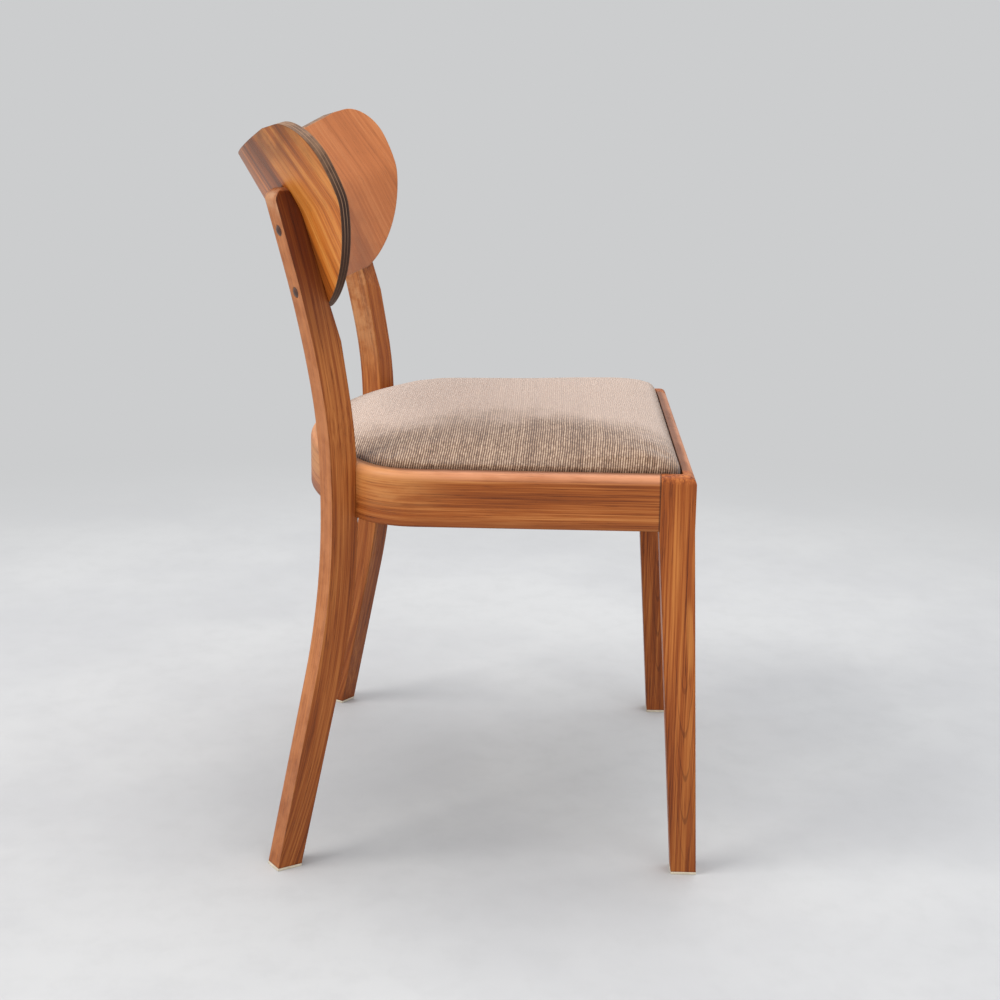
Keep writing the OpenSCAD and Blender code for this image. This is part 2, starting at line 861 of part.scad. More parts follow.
module seat_screw_holes() {
  at_seat_screws() screw_hole(seat_screw_length, 40);
}

module seat_screws() {
  color("#8c8f92") both_sides() at_seat_screws() wood_screw(seat_screw_length);
}

module corner_block() {
  difference() {
    translate([0, 0, block_bottom]) linear_extrude(block_height)
      polygon([
        [inner_half - block_leg, inner_front],
        [leg_inner_x, inner_front],
        [leg_inner_x, leg_back_y],
        [inner_half, leg_back_y],
        [inner_half, inner_front + block_leg]
      ]);
    front_screw_holes();
    side_screw_holes();
    seat_screw_holes();
  }
}

module corner_block_left() {
  color("#cfa876") mirror([1, 0, 0]) corner_block();
}

module corner_block_right() {
  color("#cfa876") corner_block();
}

module side_cleat() {
  difference() {
    translate([cleat_x, cleat_middle - cleat_length / 2, block_bottom])
      cube([cleat_thickness, cleat_length, block_height]);
    side_screw_holes();
    seat_screw_holes();
  }
}

module side_cleat_left() {
  color("#cfa876") mirror([1, 0, 0]) side_cleat();
}

module side_cleat_right() {
  color("#cfa876") side_cleat();
}

// ---------- seat ----------

// Staple positions along the fold: two rows at the sides, one at the front and one on the rear arc.
module at_staples() {
  half = half_width - staple_inset;
  both_sides()
    for (y = [-150, -95, -40, 15])
      translate([half, y, board_bottom]) rotate([0, 0, 90]) children();
  for (x = [-120, -40, 40, 120])
    translate([x, front_y + staple_inset, board_bottom]) children();
  for (turn = [-24, -8, 8, 24])
    translate([0, arc_centre_y, board_bottom]) rotate([0, 0, turn])
      translate([0, hoop_back_radius - staple_inset, 0]) children();
}

staple_drop = cover_thickness + dust_thickness;

// One staple under the board: a crown and two legs that go up into the board.
module staple() {
  translate([-staple_width / 2, -staple_wire / 2, -staple_drop - staple_wire])
    cube([staple_width, staple_wire, staple_wire]);
  for (x = [-1, 1])
    translate([(x * (staple_width - staple_wire) - staple_wire) / 2, -staple_wire / 2, -staple_drop - eps])
      cube([staple_wire, staple_wire, staple_drop + staple_leg]);
}

module cover_staples() {
  color("#b9bcbf") at_staples() staple();
}

module staple_slots() {
  slot = staple_wire + 2 * bore_clearance;
  at_staples()
    for (x = [-1, 1])
      translate([(x * (staple_width - staple_wire) - slot) / 2, -slot / 2, -staple_drop - 1])
        cube([slot, slot, staple_drop + staple_leg + 1.5]);
}

// Seat pad with a rolled edge and a crowned top.
module pad(inset, bottom, grow) {
  intersection() {
    union() {
      translate([0, 0, bottom]) linear_extrude(seat_shoulder - seat_round + grow - bottom)
        plan(inset, seat_corner + grow);
      translate([0, 0, bottom]) linear_extrude(seat_crown - bottom + 2)
        plan(inset + seat_round, seat_corner + grow - seat_round);
      round_seat(inset, seat_corner + grow)
        translate([inset + seat_round, seat_shoulder - seat_round + grow]) intersection() {
          circle(seat_round);
          translate([-seat_round, 0]) square([seat_round, seat_round]);
        }
    }
    translate([0, (front_y + hoop_back_y) / 2, seat_crown - crown_radius + grow - cover_thickness])
      sphere(crown_radius, $fn = 360);
  }
}

module seat_board() {
  color("#cdae84") difference() {
    translate([0, 0, board_bottom]) linear_extrude(board_thickness) plan(pad_inset, seat_corner);
    both_sides() seat_screw_holes();
    staple_slots();
  }
}

module seat_foam() {
  color("#e8dfc4") pad(pad_inset, board_top, 0);
}

module seat_cover() {
  color("#b39d8b") difference() {
    pad(cover_inset, ledge_height, cover_thickness);
    pad(pad_inset, board_bottom, 0);
    translate([0, 0, ledge_height - 1]) linear_extrude(cover_thickness + 2) plan(fold_inset, 6);
    both_sides() seat_screw_holes();
    staple_slots();
  }
}

module dust_cover() {
  color("#2b2a29") difference() {
    translate([0, 0, ledge_height - dust_thickness]) linear_extrude(dust_thickness) plan(dust_inset, 8);
    both_sides() seat_screw_holes();
    staple_slots();
  }
}

// ---------- glides ----------

module glide_slab() {
  translate([-far, -far, 0]) cube([2 * far, 2 * far, glide_thickness]);
}

module glide_front_left() {
  color("#e4d8bd") mirror([1, 0, 0]) intersection() {
    leg_blank();
    glide_slab();
  }
}

module glide_front_right() {
  color("#e4d8bd") intersection() {
    leg_blank();
    glide_slab();
  }
}

module glide_back_left() {
  color("#e4d8bd") mirror([1, 0, 0]) intersection() {
    stile_blank();
    glide_slab();
  }
}

module glide_back_right() {
  color("#e4d8bd") intersection() {
    stile_blank();
    glide_slab();
  }
}

seat_hoop();
front_rail();
front_leg_left();
front_leg_right();
back_stile_left();
back_stile_right();
backrest();
backrest_screws();
backrest_plugs();
stile_bolts();
stile_washers();
stile_inserts();
side_dowels();
front_dowels();
corner_block_left();
corner_block_right();
side_cleat_left();
side_cleat_right();
block_screws();
seat_board();
seat_foam();
seat_cover();
dust_cover();
cover_staples();
seat_screws();
glide_front_left();
glide_front_right();
glide_back_left();
glide_back_right();
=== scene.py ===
import math
import bpy
import bmesh
from mathutils import Matrix, Vector, noise

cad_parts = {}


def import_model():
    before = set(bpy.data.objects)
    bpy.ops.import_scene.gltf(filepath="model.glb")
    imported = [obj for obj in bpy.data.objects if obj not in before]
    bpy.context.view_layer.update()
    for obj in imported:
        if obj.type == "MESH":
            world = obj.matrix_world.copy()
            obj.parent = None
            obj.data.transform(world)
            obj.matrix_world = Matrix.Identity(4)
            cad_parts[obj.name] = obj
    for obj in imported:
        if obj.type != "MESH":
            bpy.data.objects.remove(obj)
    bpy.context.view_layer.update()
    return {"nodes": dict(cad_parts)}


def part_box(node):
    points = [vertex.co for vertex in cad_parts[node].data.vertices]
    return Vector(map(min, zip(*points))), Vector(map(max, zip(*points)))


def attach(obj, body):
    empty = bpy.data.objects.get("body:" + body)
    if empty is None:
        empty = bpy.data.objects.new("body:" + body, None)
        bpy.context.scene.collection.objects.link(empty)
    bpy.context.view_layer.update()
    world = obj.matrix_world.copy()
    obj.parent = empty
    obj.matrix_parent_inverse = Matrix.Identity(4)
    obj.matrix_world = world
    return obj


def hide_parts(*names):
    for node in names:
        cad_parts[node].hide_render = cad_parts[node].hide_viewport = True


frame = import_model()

NODES = frame["nodes"]

# Sizes of the solids that the materials and the soft pieces follow: metres, and the chair's front at -Y.

# Backrest shell: how far it leans back, how steeply its top flares out, and the middle of its inner face.
TILT = math.radians(17.0)
FLARE = math.tan(math.radians(13.0))
SHELL = dict(back=0.2025, middle=0.661, radius=0.420, thick=0.011, flare_from=0.0098)

# Seat plan: half its width, its front, the rear bends' centre, and the wide rear arc's centre and radius.
HALF_WIDTH = 0.255
SEAT_FRONT = -0.238
BEND = (0.180, 0.044)
BEND_RADIUS = 0.075
ARC_Y, ARC_RADIUS = -0.196, 0.375
# Half the angle of the rear arc, up to where the bends take over.
ARC_TURN = math.atan2(BEND[0], BEND[1] - ARC_Y)
# Where the side rails are glued to the front legs.
LEG_JOINT = -0.202

# Stiles: turned about the vertical on the rear arc, leaning in above the seat.
TURN = math.radians(34.0)
STILE_IN = math.tan(math.radians(9.0))
STILE_AT = (ARC_RADIUS * math.sin(TURN), ARC_Y + ARC_RADIUS * math.cos(TURN))


# ---------- materials ----------

class Graph:
    """Builds one material's nodes; every call returns an output socket."""

    def __init__(self, name):
        self.mat = bpy.data.materials.new(name)
        self.mat.use_nodes = True
        self.tree = self.mat.node_tree
        self.tree.nodes.clear()
        self.out = self.tree.nodes.new("ShaderNodeOutputMaterial")
        self.shader = self.tree.nodes.new("ShaderNodeBsdfPrincipled")
        self.tree.links.new(self.shader.outputs[0], self.out.inputs[0])
        self.co = self.tree.nodes.new("ShaderNodeTexCoord").outputs["Object"]

    def put(self, socket, value):
        if value is None:
            return
        if isinstance(value, bpy.types.NodeSocket):
            self.tree.links.new(value, socket)
        elif isinstance(value, (tuple, list)) and socket.type == "RGBA":
            socket.default_value = (*value[:3], 1.0)
        else:
            socket.default_value = value

    def node(self, kind, out=0, ins=(), **props):
        n = self.tree.nodes.new(kind)
        for key, value in props.items():
            setattr(n, key, value)
        for key, value in dict(ins).items():
            self.put(n.inputs[key], value)
        return n.outputs[out]

    def m(self, op, a, b=None, c=None, clamp=False):
        ins = {0: a}
        if b is not None:
            ins[1] = b
        if c is not None:
            ins[2] = c
        return self.node("ShaderNodeMath", 0, ins, operation=op, use_clamp=clamp)

    def v(self, op, a, b=None, scale=None, out=0):
        ins = {0: a}
        if b is not None:
            ins[1] = b
        if scale is not None:
            ins["Scale"] = scale
        return self.node("ShaderNodeVectorMath", out, ins, operation=op)

    def xyz(self, vec):
        n = self.tree.nodes.new("ShaderNodeSeparateXYZ")
        self.put(n.inputs[0], vec)
        return n.outputs[0], n.outputs[1], n.outputs[2]

    def vec(self, x, y, z):
        return self.node("ShaderNodeCombineXYZ", 0, {0: x, 1: y, 2: z})

    def times(self, xyz, factors):
        """A vector of three coordinates, each times its own factor."""
        return self.vec(*(self.m("MULTIPLY", value, factor) for value, factor in zip(xyz, factors)))

    def both(self, a, b):
        """The product of two masks."""
        return self.m("MULTIPLY", a, b)

    def turn(self, vec, angle, axis="Z_AXIS"):
        return self.node("ShaderNodeVectorRotate", 0, {"Vector": vec, "Angle": angle}, rotation_type=axis)

    def noise(self, vec, scale, detail=3.0, rough=0.5, distort=0.0):
        return self.node("ShaderNodeTexNoise", 0, {
            "Vector": vec, "Scale": scale, "Detail": detail, "Roughness": rough, "Distortion": distort})

    def step(self, x, low, high, to_low=0.0, to_high=1.0):
        return self.node("ShaderNodeMapRange", 0, {
            "Value": x, "From Min": low, "From Max": high, "To Min": to_low, "To Max": to_high},
            interpolation_type="SMOOTHSTEP")

    def line(self, x, low, high, to_low=0.0, to_high=1.0):
        return self.node("ShaderNodeMapRange", 0, {
            "Value": x, "From Min": low, "From Max": high, "To Min": to_low, "To Max": to_high})

    def spread(self, *terms):
        """0.5 plus each (value, weight) pair's share above or below 0.5."""
        total = 0.5
        for value, weight in terms:
            total = self.m("MULTIPLY_ADD", self.m("SUBTRACT", value, 0.5), weight, total)
        return total

    def facing(self, direction, low=0.75, high=0.92):
        """1 where the surface faces the given direction."""
        normal = self.tree.nodes.new("ShaderNodeNewGeometry").outputs["Normal"]
        return self.step(self.v("DOT_PRODUCT", normal, direction, out=1), low, high)

    def ramp(self, x, stops, mode="LINEAR"):
        n = self.tree.nodes.new("ShaderNodeValToRGB")
        n.color_ramp.interpolation = mode
        marks = n.color_ramp.elements
        while len(marks) < len(stops):
            marks.new(0.5)
        for mark, (at, colour) in zip(marks, stops):
            mark.position = at
            mark.color = (*colour, 1.0)
        self.put(n.inputs[0], x)
        return n.outputs[0]

    def mix(self, factor, a, b, mode="MIX"):
        n = self.tree.nodes.new("ShaderNodeMix")
        n.data_type = "RGBA"
        n.blend_type = mode
        self.put(n.inputs[0], factor)
        self.put(n.inputs[6], a)
        self.put(n.inputs[7], b)
        return n.outputs[2]

    def soft_edge(self, radius):
        """Normal rounded over the edges within radius, and a mask that is 1 on those edges."""
        normal = self.node("ShaderNodeBevel", 0, {"Radius": radius}, samples=6)
        true = self.tree.nodes.new("ShaderNodeNewGeometry").outputs["True Normal"]
        same = self.v("DOT_PRODUCT", normal, true, out=1)
        return normal, self.step(same, 0.995, 0.86, 0.0, 1.0)

    def finish(self, colour, rough, bump=None, depth=0.0002, normal=None, **rest):
        self.put(self.shader.inputs["Base Color"], colour)
        self.put(self.shader.inputs["Roughness"], rough)
        if bump is not None:
            normal = self.node("ShaderNodeBump", 0, {
                "Height": bump, "Distance": depth, "Strength": 1.0, "Normal": normal})
        if normal is not None:
            self.put(self.shader.inputs["Normal"], normal)
        for key, value in rest.items():
            self.put(self.shader.inputs[key.replace("_", " ")], value)
        return self.mat


def srgb(*levels):
    """Linear colour from levels of 0 to 255 as they are seen."""
    return tuple(c / 255 / 12.92 if c / 255 <= 0.04045 else ((c / 255 + 0.055) / 1.055) ** 2.4 for c in levels)


def wood(name, grain, dark, mid, light, seed=0.0, tight=1.0, streaks=1.0, clouds=1.0,
         edge=0.0022, wear=0.5, tint=None):
    """Oiled wood. grain(g) gives coordinates in metres with the fibres along Z."""
    g = Graph(name)
    local = g.xyz(g.v("ADD", grain(g), (seed, seed * 0.7, seed * 1.3)))

    def fibres(across, along, detail, rough):
        return g.noise(g.times(local, (across, across, along)), 1.0, detail, rough)

    cloud = fibres(34.0, 3.0, 3.0, 0.55)
    streak = fibres(230.0 * tight, 4.0, 5.0, 0.66)
    fine = fibres(900.0 * tight, 12.0, 4.0, 0.6)
    pore = fibres(1900.0, 40.0, 2.0, 0.5)
    tone = g.spread((cloud, 1.25 * clouds), (streak, 1.75 * streaks), (fine, 0.8 * streaks))
    colour = g.ramp(tone, [(0.0, dark), (0.5, mid), (1.0, light)])
    deep = g.mix(1.0, dark, (0.42, 0.34, 0.28), "MULTIPLY")
    pores = g.both(g.step(pore, 0.57, 0.70), g.step(streak, 0.56, 0.42))
    colour = g.mix(g.m("MULTIPLY", pores, 0.55), colour, deep)
    normal, rim = g.soft_edge(edge)
    scuff = g.noise(g.co, 38.0, 4.0, 0.6)
    rub = g.m("MULTIPLY", rim, g.step(scuff, 0.42, 0.62), clamp=True)
    colour = g.mix(g.m("MULTIPLY", rub, wear), colour, light)
    if tint is not None:
        colour = tint(g, colour, deep)
    smear = g.noise(g.co, 9.0, 3.0, 0.6)
    shine = g.m("ADD", g.line(smear, 0.3, 0.7, 0.40, 0.54), g.m("MULTIPLY", pores, 0.2))
    height = g.m("SUBTRACT", g.m("MULTIPLY", fine, 0.35), pores)
    return g.finish(colour, shine, height, 0.00018, normal,
                    Specular_IOR_Level=0.28, Coat_Weight=0.04, Coat_Roughness=0.3)


# ---------- which way the fibres run in each piece ----------

def from_hoop(g, x, y):
    """Distance in from the outside of the hoop: its sides and rear bends, or the wide arc behind."""
    side = g.m("ABSOLUTE", x)
    past = g.vec(g.m("MAXIMUM", g.m("SUBTRACT", side, BEND[0]), 0.0),
                 g.m("MAXIMUM", g.m("SUBTRACT", y, BEND[1]), 0.0), 0.0)
    to_bend = g.m("SUBTRACT", BEND_RADIUS, g.v("LENGTH", past, out=1))
    along = g.m("SUBTRACT", y, ARC_Y)
    to_back = g.m("SUBTRACT", ARC_RADIUS, g.v("LENGTH", g.vec(x, along, 0.0), out=1))
    behind = g.m("LESS_THAN", g.m("ARCTAN2", side, along), ARC_TURN)
    return g.node("ShaderNodeMix", 0, {0: behind, 2: to_bend, 3: to_back})


def along_hoop(g):
    """Round the seat: the angle about its middle, times a mean radius."""
    x, y, z = g.xyz(g.co)
    middle_y, mean_radius = -0.03, 0.27
    around = g.m("MULTIPLY", g.m("ARCTAN2", x, g.m("ADD", y, -middle_y)), mean_radius)
    return g.vec(z, from_hoop(g, x, y), around)


def across_rail(g):
    x, y, z = g.xyz(g.co)
    return g.vec(z, y, x)


def up_leg(g):
    return g.co


def in_stile(sign):
    """Straightens the stile: its bow, tighter below the seat, and the inward lean of its upper half."""
    waist, lean_from = 0.38, 0.47

    def grain(g):
        moved = g.v("SUBTRACT", g.co, (sign * STILE_AT[0], STILE_AT[1], 0.0))
        x, y, z = g.xyz(g.turn(moved, sign * TURN))
        lift = g.m("SUBTRACT", z, waist)
        bend = g.m("MULTIPLY", g.m("MULTIPLY", lift, lift), g.step(z, 0.34, 0.42, 0.55, 0.36))
        lean = g.m("MULTIPLY", g.m("MAXIMUM", g.m("SUBTRACT", z, lean_from), 0.0), sign * STILE_IN)
        return g.vec(g.m("ADD", x, lean), g.m("SUBTRACT", y, bend), z)
    return grain


def in_shell(g):
    """Arc length across, depth from the inner face and height up the shell, all without the flare of its
    top, and a mask that is 1 on its edge."""
    moved = g.v("SUBTRACT", g.co, (0.0, SHELL["back"], SHELL["middle"]))
    x, y, z = g.xyz(g.turn(moved, TILT, "X_AXIS"))
    forward = g.m("ADD", SHELL["radius"], y)
    length = g.v("LENGTH", g.vec(x, forward, 0.0), out=1)
    rise = g.m("MULTIPLY", g.m("SUBTRACT", z, SHELL["flare_from"]), FLARE)
    depth = g.m("SUBTRACT", g.m("SUBTRACT", length, SHELL["radius"]), g.m("SMOOTH_MAX", rise, 0.0, 0.0028))
    across = g.m("MULTIPLY", g.m("ARCTAN2", x, forward), SHELL["radius"])
    normal = g.turn(g.tree.nodes.new("ShaderNodeNewGeometry").outputs["True Normal"], TILT, "X_AXIS")
    radial = g.v("DOT_PRODUCT", normal, g.v("NORMALIZE", g.vec(x, forward, 0.0)), out=1)
    edge = g.step(g.m("ABSOLUTE", radial), 0.62, 0.42)
    return across, depth, z, edge


# ---------- what age and use have done to each piece ----------

def leg_tint(g, colour, deep):
    """Growth lines nested in points low on the leg, a pale flame above them, and the glued joint at the rail."""
    x, y, z = g.xyz(g.co)
    drift = g.noise(g.times((x, y, z), (30.0, 30.0, 7.0)), 1.0, 3.0, 0.55)
    # The figure's middle line follows the leg's taper, and each growth line is a parabola across it.
    middle = g.m("ADD", g.m("MULTIPLY", z, 0.045), -0.2435)
    aside = g.m("ADD", g.m("SUBTRACT", y, middle), g.m("MULTIPLY", g.m("SUBTRACT", drift, 0.5), 0.010))
    point = g.m("SUBTRACT", z, g.m("MULTIPLY", g.m("MULTIPLY", aside, aside), 900.0))
    wave = g.m("SINE", g.m("MULTIPLY", point, math.tau / 0.048))
    low = g.both(g.step(z, 0.26, 0.18), g.step(z, 0.005, 0.04))
    line = g.both(g.step(wave, 0.82, 0.99), low)
    colour = g.mix(g.m("MULTIPLY", line, 0.40), colour, deep)
    off = g.m("DIVIDE", g.m("SUBTRACT", aside, -0.0055), 0.0042)
    up = g.m("DIVIDE", g.m("SUBTRACT", z, 0.262), 0.048)
    flame = g.step(g.m("ADD", g.m("MULTIPLY", off, off), g.m("MULTIPLY", up, up)), 1.0, 0.2)
    colour = g.mix(g.m("MULTIPLY", flame, 0.55), colour, srgb(206, 132, 62))
    dull = g.mix(1.0, colour, (0.70, 0.66, 0.62), "MULTIPLY")
    colour = g.mix(g.step(z, 0.26, 0.02, 0.0, 0.75), colour, dull)
    glue = g.both(g.step(g.m("ABSOLUTE", g.m("ADD", y, -LEG_JOINT)), 0.0011, 0.0003), g.step(z, 0.371, 0.374))
    return g.mix(g.m("MULTIPLY", glue, 0.75), colour, srgb(58, 26, 14))


def rail_tint(g, colour, deep):
    """The rounded top edge is rubbed paler, the rear bends are golden, and the underside stays dark."""
    x, y, z = g.xyz(g.co)
    patch = g.noise(g.times((x, y, z), (14.0, 14.0, 60.0)), 1.0, 3.0, 0.6)
    band = g.both(g.step(z, 0.4185, 0.4265), g.step(patch, 0.30, 0.62, 0.4, 0.88))
    colour = g.mix(band, colour, srgb(216, 148, 108))
    bend = g.both(g.step(y, -0.01, 0.09), g.step(z, 0.384, 0.402))
    colour = g.mix(g.both(bend, g.step(patch, 0.35, 0.60, 0.15, 0.6)), colour, srgb(212, 146, 84))
    low = g.m("MULTIPLY", g.step(z, 0.386, 0.374), 0.40)
    colour = g.mix(low, colour, srgb(104, 50, 22))
    # Painted shade along the seat, where the cushion meets the rail, and a dark glued joint where the rail meets
    # the legs.
    inner = g.m("MINIMUM", from_hoop(g, x, y), g.m("ADD", y, -SEAT_FRONT))
    painted_shade_by_cushion = g.both(g.step(inner, 0.0030, 0.0090), g.step(z, 0.4245, 0.4285))
    glue = g.step(g.m("ABSOLUTE", g.m("ADD", y, -LEG_JOINT)), 0.0016, 0.0003)
    return g.mix(g.m("MULTIPLY", g.m("MAXIMUM", painted_shade_by_cushion, glue), 0.68), colour, srgb(74, 38, 22))


def stile_tint(sign):
    """Handling has rubbed the top and the back pale; the side beside the backrest is darkened high up, partly a
    darker stain in the wood and partly painted shade from the backrest.
    """
    def tint(g, colour, deep):
        x, y, z = g.xyz(g.co)
        patch = g.noise(g.co, 42.0, 4.0, 0.65)
        back = g.facing((sign * math.sin(TURN), math.cos(TURN), 0.0))
        colour = g.mix(g.both(back, g.step(patch, 0.30, 0.65, 0.25, 0.60)), colour, srgb(208, 136, 84))
        # Painted shade, partly a darker stain: the side facing the backrest darkens high up, where the shell
        # shades it.
        side = g.facing((sign * math.cos(TURN), -math.sin(TURN), 0.0), 0.6, 0.85)
        shade = g.both(side, g.step(z, 0.50, 0.65, 0.0, 0.92))
        colour = g.mix(shade, colour, g.mix(1.0, colour, (0.40, 0.28, 0.14), "MULTIPLY"))
        top = g.both(g.step(z, 0.655, 0.706), g.m("SUBTRACT", 1.0, side))
        colour = g.mix(g.both(top, g.step(patch, 0.40, 0.62, 0.15, 0.8)), colour, srgb(206, 158, 120))
        inward = g.facing((-sign * math.cos(TURN), math.sin(TURN), 0.0), 0.6, 0.85)
        pale = g.both(inward, g.both(g.step(z, 0.44, 0.52), g.step(patch, 0.35, 0.62, 0.15, 0.6)))
        colour = g.mix(pale, colour, srgb(214, 156, 104))
        foot = g.step(z, 0.24, 0.03, 0.0, 0.45)
        return g.mix(foot, colour, g.mix(1.0, colour, (0.66, 0.60, 0.55), "MULTIPLY"))
    return tint


LEG = dict(dark=srgb(110, 48, 12), mid=srgb(162, 82, 26), light=srgb(200, 122, 56),
           tight=1.4, streaks=1.35, wear=0.35, tint=leg_tint)
RAIL = dict(dark=srgb(112, 52, 15), mid=srgb(162, 85, 30), light=srgb(204, 132, 70),
            tight=1.9, streaks=1.25, clouds=1.1, wear=0.35, tint=rail_tint)
STILE = dict(dark=srgb(104, 46, 12), mid=srgb(150, 76, 24), light=srgb(192, 118, 56),
             tight=1.4, clouds=1.2, edge=0.003)

MATS = {
    "seat_hoop": wood("hoop_wood", along_hoop, seed=1.7, **RAIL),
    "front_rail": wood("rail_wood", across_rail, seed=4.1, **RAIL),
    "front_leg_left": wood("leg_wood_left", up_leg, seed=0.35, **LEG),
    "front_leg_right": wood("leg_wood_right", up_leg, seed=2.9, **LEG),
    "back_stile_left": wood("stile_wood_left", in_stile(-1), seed=6.3, tint=stile_tint(-1), **STILE),
    "back_stile_right": wood("stile_wood_right", in_stile(1), seed=8.8, tint=stile_tint(1), **STILE),
}


def shell_material():
    """Moulded plywood: golden veneer outside, redder inside, and its dark and pale layers along the edge."""
    g = Graph("moulded_plywood")
    s, depth, up, edge = in_shell(g)
    aside = g.m("ABSOLUTE", s)
    # The veneer's fibres lean towards the wings as they go down.
    lean = g.m("MULTIPLY_ADD", g.line(s, -0.12, 0.12, -0.26, 0.26), up, s)

    def fibres(across, along, detail, rough):
        return g.noise(g.times((lean, depth, up), (across, 30.0, along)), 1.0, detail, rough)

    def blotch(scale, low, high, least, most):
        return g.step(g.noise(g.co, scale, 3.0, 0.6), low, high, least, most)

    wide = fibres(58.0, 2.4, 2.0, 0.45)
    streak = fibres(260.0, 6.0, 5.0, 0.62)
    fine = fibres(1100.0, 22.0, 3.0, 0.6)
    pore = fibres(2000.0, 60.0, 2.0, 0.5)

    tip = g.step(aside, 0.15, 0.235)
    figure = g.spread((wide, g.line(aside, 0.11, 0.20, 1.4, 2.6)), (streak, 1.2), (fine, 0.5))
    outer = g.ramp(g.m("ADD", figure, g.m("MULTIPLY", g.m("SUBTRACT", tip, 0.5), 0.16)), [
        (0.0, srgb(108, 54, 14)), (0.35, srgb(154, 80, 24)),
        (0.65, srgb(202, 113, 38)), (1.0, srgb(224, 144, 66))])
    inner = g.ramp(g.spread((wide, 1.3), (streak, 1.0), (fine, 0.5)), [
        (0.0, srgb(158, 88, 46)), (0.5, srgb(196, 116, 64)), (1.0, srgb(216, 142, 88))])
    inside = g.step(depth, 0.0068, 0.0042)
    outside = g.m("SUBTRACT", 1.0, inside)
    # Painted shade: the inner face is darker low down, towards the middle, where the hollow of the shell lies in
    # shadow.
    low = g.both(g.step(up, 0.030, -0.045), blotch(20.0, 0.30, 0.62, 0.35, 0.85))
    inner = g.mix(g.both(low, g.step(aside, 0.238, 0.185, 0.15, 0.8)), inner, srgb(140, 84, 56))
    face = g.mix(inside, outer, inner)
    # The top of the outer face has gone brown.
    brown_top = g.both(g.step(up, 0.030, 0.094), blotch(30.0, 0.35, 0.65, 0.25, 0.75))
    face = g.mix(g.both(brown_top, outside), face, srgb(110, 60, 18))
    pores = g.m("MULTIPLY", g.step(pore, 0.58, 0.70), 0.42)
    face = g.mix(pores, face, srgb(98, 52, 22))

    # Layers, from the inner face out.
    wander = g.m("MULTIPLY", g.m("SUBTRACT", g.noise(g.co, 30.0, 2.0, 0.5), 0.5), 0.0006)
    dark, brown, pale = srgb(54, 32, 22), srgb(78, 48, 32), srgb(176, 136, 104)
    layers = g.ramp(g.m("DIVIDE", g.m("ADD", depth, wander), SHELL["thick"]), [
        (0.0, brown), (0.16, dark), (0.28, dark), (0.32, pale), (0.36, dark), (0.60, dark), (0.64, pale),
        (0.69, brown), (0.80, dark), (1.0, brown)])
    layers = g.mix(g.step(up, 0.0, -0.06, 0.0, 0.75), layers, srgb(62, 36, 22))
    worn = g.both(g.step(up, 0.0, 0.09), blotch(60.0, 0.30, 0.60, 0.3, 0.75))
    layers = g.mix(worn, layers, srgb(160, 122, 92))

    colour = g.mix(edge, face, layers)
    normal, rim = g.soft_edge(0.0016)
    handled = g.mix(g.both(g.step(up, 0.035, 0.07), outside), srgb(200, 160, 120), srgb(70, 42, 22))
    colour = g.mix(g.m("MULTIPLY", rim, 0.30), colour, handled)
    smear = g.noise(g.co, 10.0, 3.0, 0.6)
    shine = g.m("ADD", g.line(smear, 0.3, 0.7, 0.34, 0.46), g.m("MULTIPLY", edge, 0.2))
    height = g.m("SUBTRACT", g.m("MULTIPLY", fine, 0.3), pores)
    return g.finish(colour, shine, height, 0.00012, normal,
                    Specular_IOR_Level=0.32, Coat_Weight=0.08, Coat_Roughness=0.22)


def shades(base, *steps):
    """Ramp stops (position, colour) from a base colour and (position, factor) pairs."""
    return [(at, tuple(min(1.0, c * factor) for c in base)) for at, factor in steps]


def pale_wood(name, base, seed, sheets=0.0):
    """Raw pale wood for dowels, blocks and the seat board, which shows its sheets as bands."""
    g = Graph(name)
    x, y, z = g.xyz(g.v("ADD", g.co, (seed, seed, seed)))
    streak = g.noise(g.times((x, y, z), (6.0, 160.0, 160.0)), 1.0, 4.0, 0.6)
    colour = g.ramp(streak, shades(base, (0.30, 0.62), (0.55, 1.0), (0.75, 1.25)))
    if sheets:
        band = g.m("SINE", g.m("MULTIPLY", z, math.tau / sheets))
        colour = g.mix(g.m("MULTIPLY", g.step(band, 0.2, 0.8), 0.4), colour, tuple(c * 0.45 for c in base))
    return g.finish(colour, 0.75, streak, 0.0002, g.soft_edge(0.001)[0])


def metal(name, base, rough, seed=0.0):
    g = Graph(name)
    spot = g.noise(g.v("ADD", g.co, (seed, 0, 0)), 420.0, 4.0, 0.6)
    colour = g.ramp(spot, shades(base, (0.3, 0.72), (0.6, 1.0), (0.8, 1.15)))
    shine = g.line(spot, 0.3, 0.7, rough - 0.08, rough + 0.14)
    return g.finish(colour, shine, spot, 0.00004, g.soft_edge(0.0004)[0], Metallic=1.0)


def plug_material():
    g = Graph("plug_wood")
    spot = g.noise(g.co, 260.0, 4.0, 0.6)
    colour = g.ramp(spot, [(0.3, srgb(52, 28, 18)), (0.7, srgb(92, 54, 34))])
    return g.finish(colour, 0.42, spot, 0.0001, None, Coat_Weight=0.2, Coat_Roughness=0.3)


def felt_material():
    g = Graph("pressed_felt")
    fuzz = g.noise(g.co, 2600.0, 3.0, 0.7)
    stain = g.noise(g.co, 60.0, 3.0, 0.6)
    colour = g.mix(g.step(stain, 0.45, 0.75, 0.0, 0.5), srgb(226, 214, 190), srgb(180, 162, 136))
    colour = g.mix(g.step(fuzz, 0.45, 0.75, 0.0, 0.35), colour, srgb(150, 136, 114))
    return g.finish(colour, 0.95, fuzz, 0.0006, None, Sheen_Weight=0.4, Sheen_Roughness=0.6)


